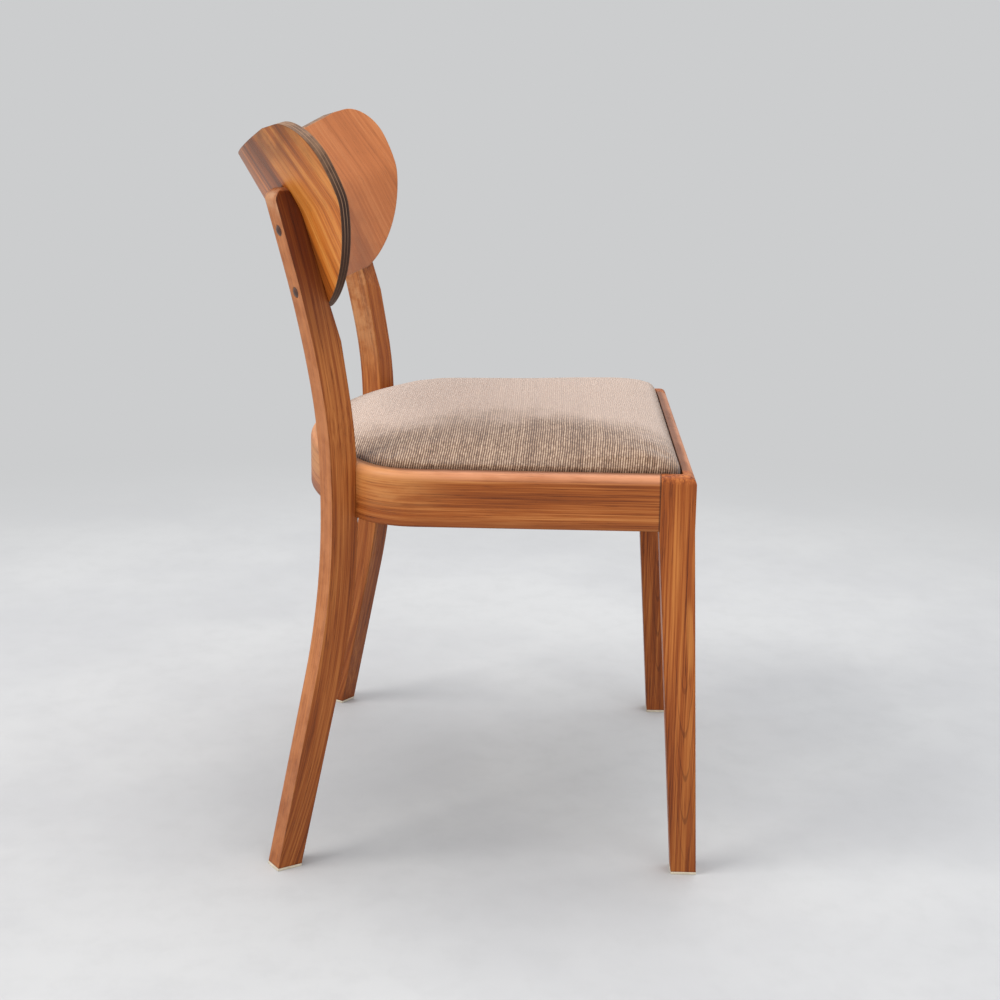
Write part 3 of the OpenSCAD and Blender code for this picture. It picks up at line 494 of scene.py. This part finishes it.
def chenille():
    """Ribbed chenille: narrow ribs across the chair, broken into light and dark tufts."""
    pitch = 0.0024
    g = Graph("ribbed_chenille")
    x, y, z = g.xyz(g.co)
    wander = g.m("MULTIPLY", g.m("SUBTRACT", g.noise(g.co, 34.0, 2.0, 0.5), 0.5), 0.0022)
    along = g.m("ADD", g.m("MULTIPLY_ADD", z, 0.15, y), wander)
    turns = g.m("DIVIDE", along, pitch)
    rib = g.m("MULTIPLY_ADD", g.m("SINE", g.m("MULTIPLY", turns, math.tau)), 0.5, 0.5)
    number = g.m("FLOOR", g.m("ADD", turns, 0.25))
    shade = g.node("ShaderNodeTexWhiteNoise", 0, {"W": number}, noise_dimensions="1D")
    fleck = g.noise(g.times((x, number, z), (150.0, 3.7, 250.0)), 1.0, 3.0, 0.65)
    tuft = g.noise(g.co, 1100.0, 2.0, 0.6)
    tone = g.spread((rib, 0.80), (shade, 0.24), (fleck, 1.45), (tuft, 0.8))
    colour = g.ramp(tone, [
        (0.0, srgb(74, 50, 34)), (0.32, srgb(124, 92, 70)),
        (0.66, srgb(164, 130, 104)), (1.0, srgb(206, 178, 152))])
    # Painted light: a painted sheen over the top and along the front, and painted shade down the -X side and
    # round the rim.
    drift = g.m("SUBTRACT", g.noise(g.co, 15.0, 4.0, 0.6), 0.5)
    aside = g.m("ADD", y, 0.05)
    bow = g.m("MULTIPLY_ADD", g.m("MULTIPLY", aside, aside), 1.9, x)
    painted_sheen_top = g.step(g.m("MULTIPLY_ADD", drift, 0.15, bow), -0.152, -0.055)
    front = g.step(g.m("MULTIPLY_ADD", drift, 0.06, y), -0.186, -0.216)
    light = g.both(g.m("MAXIMUM", painted_sheen_top, g.m("MULTIPLY", front, 0.25)), g.step(z, 0.432, 0.446))
    colour = g.mix(g.m("MULTIPLY", light, 0.74), colour, srgb(211, 186, 170))
    # Painted shade: darker down the sides and round the rim.
    low = g.step(z, 0.442, 0.421, 0.0, 0.85)
    colour = g.mix(low, colour, g.mix(1.0, colour, srgb(166, 136, 116), "MULTIPLY"))
    height = g.m("MULTIPLY_ADD", rib, 0.8, g.m("MULTIPLY", tuft, 0.6))
    return g.finish(colour, 0.92, height, 0.0007, None,
                    Sheen_Weight=0.35, Sheen_Roughness=0.5, Specular_IOR_Level=0.2)


def dust_material():
    g = Graph("black_non_woven")
    mesh = 2400.0
    x, y, z = g.xyz(g.co)
    grid = g.both(g.m("SINE", g.m("MULTIPLY", x, mesh)), g.m("SINE", g.m("MULTIPLY", y, mesh)))
    fibre = g.noise(g.co, 900.0, 5.0, 0.7)
    colour = g.mix(g.step(fibre, 0.35, 0.7), srgb(22, 21, 21), srgb(58, 56, 55))
    return g.finish(colour, 0.85, g.m("ADD", grid, fibre), 0.0003, None, Sheen_Weight=0.2)


MATS["backrest"] = shell_material()
MATS.update(dict.fromkeys(
    ("side_dowels", "front_dowels", "corner_block_left", "corner_block_right",
     "side_cleat_left", "side_cleat_right"),
    pale_wood("pale_wood", srgb(205, 170, 122), 0.4)))
MATS["seat_board"] = pale_wood("board_plywood", srgb(206, 174, 128), 1.9, sheets=0.0024)
MATS.update(dict.fromkeys(
    ("backrest_screws", "stile_bolts", "stile_washers", "block_screws", "seat_screws", "cover_staples"),
    metal("zinc_steel", srgb(176, 178, 182), 0.36)))
MATS["stile_inserts"] = metal("brass", srgb(206, 170, 96), 0.3, seed=3.0)
MATS["backrest_plugs"] = plug_material()

for name, material in MATS.items():
    node = NODES[name]
    node.data.materials.clear()
    node.data.materials.append(material)


# ---------- soft pieces ----------

def place(name, mesh, material):
    obj = bpy.data.objects.new(name, mesh)
    bpy.context.scene.collection.objects.link(obj)
    mesh.materials.clear()
    mesh.materials.append(material)
    for face in mesh.polygons:
        face.use_smooth = True
    return obj


def seat_outline(inset, corner, count=44):
    """Plan of the seat, anticlockwise: front corners, sides, rear bends, wide rear arc."""
    half, low = HALF_WIDTH - inset, SEAT_FRONT + inset
    (bend, bend_y), turn = BEND, ARC_TURN
    pts = []

    def arc(cx, cy, r, a0, a1, n):
        for i in range(n):
            a = a0 + (a1 - a0) * i / n
            pts.append((cx + r * math.cos(a), cy + r * math.sin(a)))

    def run(a, b, n):
        for i in range(n):
            pts.append((a[0] + (b[0] - a[0]) * i / n, a[1] + (b[1] - a[1]) * i / n))

    run((-half + corner, low), (half - corner, low), count)
    arc(half - corner, low + corner, corner, -math.pi / 2, 0.0, 10)
    run((half, low + corner), (half, bend_y), count * 2 // 3)
    arc(bend, bend_y, BEND_RADIUS - inset, 0.0, math.pi / 2 - turn, 12)
    arc(0.0, ARC_Y, ARC_RADIUS - inset, math.pi / 2 - turn, math.pi / 2 + turn, count)
    arc(-bend, bend_y, BEND_RADIUS - inset, math.pi / 2 + turn, math.pi, 12)
    run((-half, bend_y), (-half, low + corner), count * 2 // 3)
    arc(-half + corner, low + corner, corner, math.pi, 1.5 * math.pi, 10)
    return pts


def lofted(rings, cap_top=True):
    """Mesh through rings of points, all equally long, closed at the first ring and, if asked, at the last."""
    mesh = bpy.data.meshes.new("loft")
    bm = bmesh.new()
    rows = [[bm.verts.new(p) for p in ring] for ring in rings]
    n = len(rings[0])
    for a, b in zip(rows, rows[1:]):
        for i in range(n):
            bm.faces.new((a[i], a[(i + 1) % n], b[(i + 1) % n], b[i]))
    bm.faces.new(list(reversed(rows[0])))
    if cap_top:
        bm.faces.new(rows[-1])
    bmesh.ops.recalc_face_normals(bm, faces=bm.faces)
    bm.to_mesh(mesh)
    bm.free()
    return mesh


def apply_modifiers(obj):
    graph = bpy.context.evaluated_depsgraph_get()
    mesh = bpy.data.meshes.new_from_object(obj.evaluated_get(graph))
    obj.modifiers.clear()
    old = obj.data
    obj.data = mesh
    bpy.data.meshes.remove(old)


def clamp(value):
    return min(1.0, max(0.0, value))


# Cushion: (inset from the seat's outline, corner radius, height) up the wall and over the rim, then the crown.
CUSHION_RIM = (
    (0.0142, 0.022, 0.4080), (0.0142, 0.022, 0.4160), (0.0142, 0.022, 0.4250), (0.0142, 0.022, 0.4325),
    (0.0148, 0.022, 0.4345), (0.0165, 0.022, 0.4366), (0.0198, 0.023, 0.4386), (0.0250, 0.025, 0.4402),
    (0.0320, 0.028, 0.4414), (0.0420, 0.032, 0.4426), (0.0550, 0.038, 0.4440))
CROWN, CROWN_Y = 0.0160, -0.028
CUSHION_BOTTOM = 0.4182
VOXEL = 0.005
CLOTH_FRAMES = 20
CLOTH_REACH = 0.006


def cushion():
    """Drop-in seat: foam and cover pulled over the board, crowned, its wall ending on the board's ledge."""
    material = chenille()
    rings = [[(x, y, height) for x, y in seat_outline(inset, corner)] for inset, corner, height in CUSHION_RIM]
    outer, shoulder = rings[-1], CUSHION_RIM[-1][2]
    for share in (0.88, 0.76, 0.62, 0.46, 0.28, 0.10):
        height = shoulder + CROWN * (1.0 - share * share)
        rings.append([(x * share, CROWN_Y + (y - CROWN_Y) * share, height) for x, y, _ in outer])
    obj = place("seat_cushion", lofted(rings), material)
    fill_out(obj)
    shape_cushion(obj.data)
    sub = obj.modifiers.new("smooth", "SUBSURF")
    sub.levels = sub.render_levels = 1
    apply_modifiers(obj)
    flat_bottom(obj.data)
    obj.data.materials.clear()
    obj.data.materials.append(material)
    for face in obj.data.polygons:
        face.use_smooth = True
    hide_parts("seat_foam", "seat_cover")
    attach(obj, "root")


def fill_out(obj):
    """The foam presses the cloth out as far as CLOTH_REACH, while the cushion's wall is held."""
    remesh = obj.modifiers.new("remesh", "REMESH")
    remesh.mode = "VOXEL"
    remesh.voxel_size = VOXEL
    apply_modifiers(obj)
    start = [v.co.copy() for v in obj.data.vertices]
    hold = obj.vertex_groups.new(name="hold")
    for v in obj.data.vertices:
        hold.add([v.index], clamp((0.437 - v.co.z) / 0.003), "REPLACE")
    cloth = obj.modifiers.new("cloth", "CLOTH")
    s = cloth.settings
    s.quality = 5
    s.mass = 0.25
    s.tension_stiffness = 18
    s.compression_stiffness = 12
    s.bending_stiffness = 0.8
    s.use_pressure = True
    s.uniform_pressure_force = 3.0
    s.vertex_group_mass = "hold"
    s.pin_stiffness = 1.0
    s.effector_weights.gravity = 0.0
    cloth.collision_settings.use_collision = False
    cloth.point_cache.frame_start = 1
    cloth.point_cache.frame_end = CLOTH_FRAMES
    scene = bpy.context.scene
    for f in range(1, CLOTH_FRAMES + 1):
        scene.frame_set(f)
    apply_modifiers(obj)
    for v, old in zip(obj.data.vertices, start):
        move = v.co - old
        if move.length > CLOTH_REACH:
            v.co = old + move.normalized() * CLOTH_REACH
    scene.frame_set(1)


def flat_bottom(mesh):
    """Cuts the cushion's wall off square at CUSHION_BOTTOM and closes it there."""
    bm = bmesh.new()
    bm.from_mesh(mesh)
    bmesh.ops.bisect_plane(bm, geom=list(bm.verts) + list(bm.edges) + list(bm.faces),
                           plane_co=(0, 0, CUSHION_BOTTOM), plane_no=(0, 0, 1), clear_inner=True)
    bmesh.ops.contextual_create(bm, geom=[edge for edge in bm.edges if edge.is_boundary])
    bmesh.ops.recalc_face_normals(bm, faces=bm.faces)
    bm.to_mesh(mesh)
    bm.free()


def shape_cushion(mesh):
    """A fuller front edge, small pulls at the rim, and a slack dip where it is sat on."""
    for v in mesh.vertices:
        x, y, z = v.co
        top = clamp((z - 0.438) / 0.012)
        side = clamp((z - 0.432) / 0.003) * clamp((0.444 - z) / 0.006)
        pull = noise.noise(Vector((x * 22.0, y * 22.0, 3.1)))
        dip = noise.noise(Vector((x * 7.0, y * 7.0, 9.7)))
        out = Vector((x, y + 0.03, 0.0)).normalized()
        v.co += Vector((0.0, 0.0, 1.0)) * (0.0010 * dip * top + 0.0004 * pull * top)
        v.co -= out * (0.0002 + 0.0003 * pull) * side
        full = clamp((-0.05 - y) / 0.14) * clamp((z - 0.4345) / 0.005)
        v.co.z += 0.0048 * full * full * (3.0 - 2.0 * full)


cushion()


def dust_sheet():
    """Black cloth stapled under the board, puckered at its edge and a little slack between the staples."""
    inset, middle_y = 0.0395, -0.03
    material = dust_material()
    outer = seat_outline(inset, 0.012, 60)
    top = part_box("dust_cover")[1].z - 0.0002
    rings = []
    for share in (1.0, 0.985, 0.94, 0.86, 0.74, 0.60, 0.45, 0.30, 0.15, 0.04):
        within = 1.0 - share
        ring = []
        for i, (x, y) in enumerate(outer):
            px, py = x * share, middle_y + (y - middle_y) * share
            slack = within * 0.0016
            wave = noise.noise(Vector((px * 16.0, py * 16.0, 5.0))) * 0.0009 * within ** 0.3
            pucker = 0.0006 * math.sin(i * 0.55) * max(0.0, 1.0 - within / 0.12)
            ring.append((px, py, top - 0.0004 - slack + wave - max(0.0, pucker)))
        rings.append(ring)
    obj = place("dust_sheet", lofted(list(reversed(rings)), cap_top=False), material)
    thick = obj.modifiers.new("cloth", "SOLIDIFY")
    thick.thickness = 0.0004
    thick.offset = 0.0
    apply_modifiers(obj)
    obj.data.materials.clear()
    obj.data.materials.append(material)
    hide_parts("dust_cover")
    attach(obj, "root")


dust_sheet()


def felt_pads():
    """Thin felt pads cut to the shape of each foot, with slightly spread, fuzzy edges."""
    material = felt_material()
    for corner in ("front_left", "front_right", "back_left", "back_right"):
        name = "glide_" + corner
        mesh = NODES[name].data.copy()
        obj = place("pad_" + corner, mesh, material)
        low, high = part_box(name)
        middle = (low + high) / 2
        bm = bmesh.new()
        bm.from_mesh(mesh)
        bmesh.ops.remove_doubles(bm, verts=bm.verts, dist=1e-5)
        bmesh.ops.dissolve_limit(bm, angle_limit=0.02, verts=bm.verts, edges=bm.edges)
        bmesh.ops.bevel(bm, geom=list(bm.edges), offset=0.0006, segments=2, affect="EDGES", profile=0.6)
        bmesh.ops.triangulate(bm, faces=bm.faces)
        bmesh.ops.subdivide_edges(bm, edges=list(bm.edges), cuts=2, use_grid_fill=True)
        for v in bm.verts:
            out = Vector((v.co.x - middle.x, v.co.y - middle.y, 0.0))
            bulge = 1.0 - ((v.co.z - middle.z) / 0.0016) ** 2
            fuzz = noise.noise(v.co * 900.0)
            v.co += out.normalized() * (0.0004 * bulge + 0.00012 * fuzz)
        bm.to_mesh(mesh)
        bm.free()
        for face in mesh.polygons:
            face.use_smooth = True
        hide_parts(name)
        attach(obj, "root")


felt_pads()


# ---------- floor, light and camera ----------

PALE_FLOOR = srgb(204, 205, 206)


def seen_directly(tree):
    """1 for what the camera sees, straight on or through gloss and glass."""
    path = tree.nodes.new("ShaderNodeLightPath")
    total = path.outputs["Is Camera Ray"]
    for name in ("Is Glossy Ray", "Is Transmission Ray"):
        add = tree.nodes.new("ShaderNodeMath")
        add.operation = "MAXIMUM"
        tree.links.new(total, add.inputs[0])
        tree.links.new(path.outputs[name], add.inputs[1])
        total = add.outputs[0]
    return total


def stage():
    """Pale concrete near the chair, where its shadow falls, and an even pale ground further off."""
    g = Graph("pale_floor")
    tone = g.noise(g.co, 2.2, 4.0, 0.55)
    fine = g.noise(g.co, 26.0, 4.0, 0.6)
    colour = g.mix(g.step(tone, 0.35, 0.65), srgb(193, 194, 196), srgb(202, 203, 204))
    colour = g.mix(g.step(fine, 0.40, 0.75, 0.0, 0.22), colour, srgb(184, 185, 186))
    material = g.finish(colour, 0.7, fine, 0.0004, None, Specular_IOR_Level=0.2)
    glow = g.tree.nodes.new("ShaderNodeEmission")
    glow.inputs[0].default_value = (*PALE_FLOOR, 1.0)
    blend = g.tree.nodes.new("ShaderNodeMixShader")
    far = g.step(g.v("LENGTH", g.co, out=1), 0.75, 1.9)
    g.put(blend.inputs[0], g.m("MULTIPLY", far, seen_directly(g.tree)))
    g.tree.links.new(g.shader.outputs[0], blend.inputs[1])
    g.tree.links.new(glow.outputs[0], blend.inputs[2])
    g.tree.links.new(blend.outputs[0], g.out.inputs[0])
    mesh = bpy.data.meshes.new("floor")
    bm = bmesh.new()
    bmesh.ops.create_grid(bm, x_segments=2, y_segments=2, size=30.0)
    bm.to_mesh(mesh)
    bm.free()
    floor = bpy.data.objects.new("floor", mesh)
    bpy.context.scene.collection.objects.link(floor)
    mesh.materials.append(material)


def world():
    """Even light from all round, seen as the pale ground's colour."""
    scene = bpy.context.scene
    scene.world = bpy.data.worlds.new("studio")
    scene.world.use_nodes = True
    tree = scene.world.node_tree
    tree.nodes.clear()
    out = tree.nodes.new("ShaderNodeOutputWorld")
    fill = tree.nodes.new("ShaderNodeBackground")
    shown = tree.nodes.new("ShaderNodeBackground")
    mix = tree.nodes.new("ShaderNodeMixShader")
    fill.inputs[0].default_value = (0.97, 0.98, 1.0, 1.0)
    fill.inputs[1].default_value = 0.68
    shown.inputs[0].default_value = (*PALE_FLOOR, 1.0)
    tree.links.new(seen_directly(tree), mix.inputs[0])
    tree.links.new(fill.outputs[0], mix.inputs[1])
    tree.links.new(shown.outputs[0], mix.inputs[2])
    tree.links.new(mix.outputs[0], out.inputs[0])


def lamp(name, at, side, energy, colour=(1, 1, 1)):
    """A square soft lamp aimed at the seat."""
    data = bpy.data.lights.new(name, "AREA")
    data.shape = "RECTANGLE"
    data.size = data.size_y = side
    data.energy = energy
    data.color = colour
    obj = bpy.data.objects.new(name, data)
    bpy.context.scene.collection.objects.link(obj)
    obj.location = at
    obj.rotation_euler = (Vector((0, 0, 0.4)) - Vector(at)).to_track_quat("-Z", "Y").to_euler()


def camera():
    """The photograph's view, solved from the chair's own upright and level lines: angles in radians, and the
    focal length in pixels of a frame 1000 wide."""
    focal, frame_width, sensor = 1775.1, 1000, 36.0
    pitch, yaw, roll = 0.23988, 0.02489, 0.014153
    forward = Vector((math.cos(pitch) * math.cos(yaw), math.cos(pitch) * math.sin(yaw), -math.sin(pitch)))
    right = Vector((math.sin(yaw), -math.cos(yaw), 0.0))
    up = right.cross(forward)
    right2 = math.cos(roll) * right + math.sin(roll) * up
    up2 = -math.sin(roll) * right + math.cos(roll) * up
    data = bpy.data.cameras.new("camera")
    data.sensor_width = sensor
    data.lens = focal / frame_width * sensor
    data.clip_end = 200.0
    obj = bpy.data.objects.new("camera", data)
    bpy.context.scene.collection.objects.link(obj)
    turn = Matrix((right2, up2, -forward)).transposed()
    obj.matrix_world = Matrix.Translation((-1.98446, -0.0845, 0.82579)) @ turn.to_4x4()
    bpy.context.scene.camera = obj


stage()
world()
lamp("key", (-2.2, 4.4, 4.8), 3.4, 220.0, (1.0, 0.97, 0.93))
lamp("fill", (-4.4, -2.6, 3.0), 3.4, 56.0)
lamp("top", (0.8, -0.6, 4.6), 3.8, 92.0)
camera()

scene = bpy.context.scene
scene.view_settings.view_transform = "Standard"
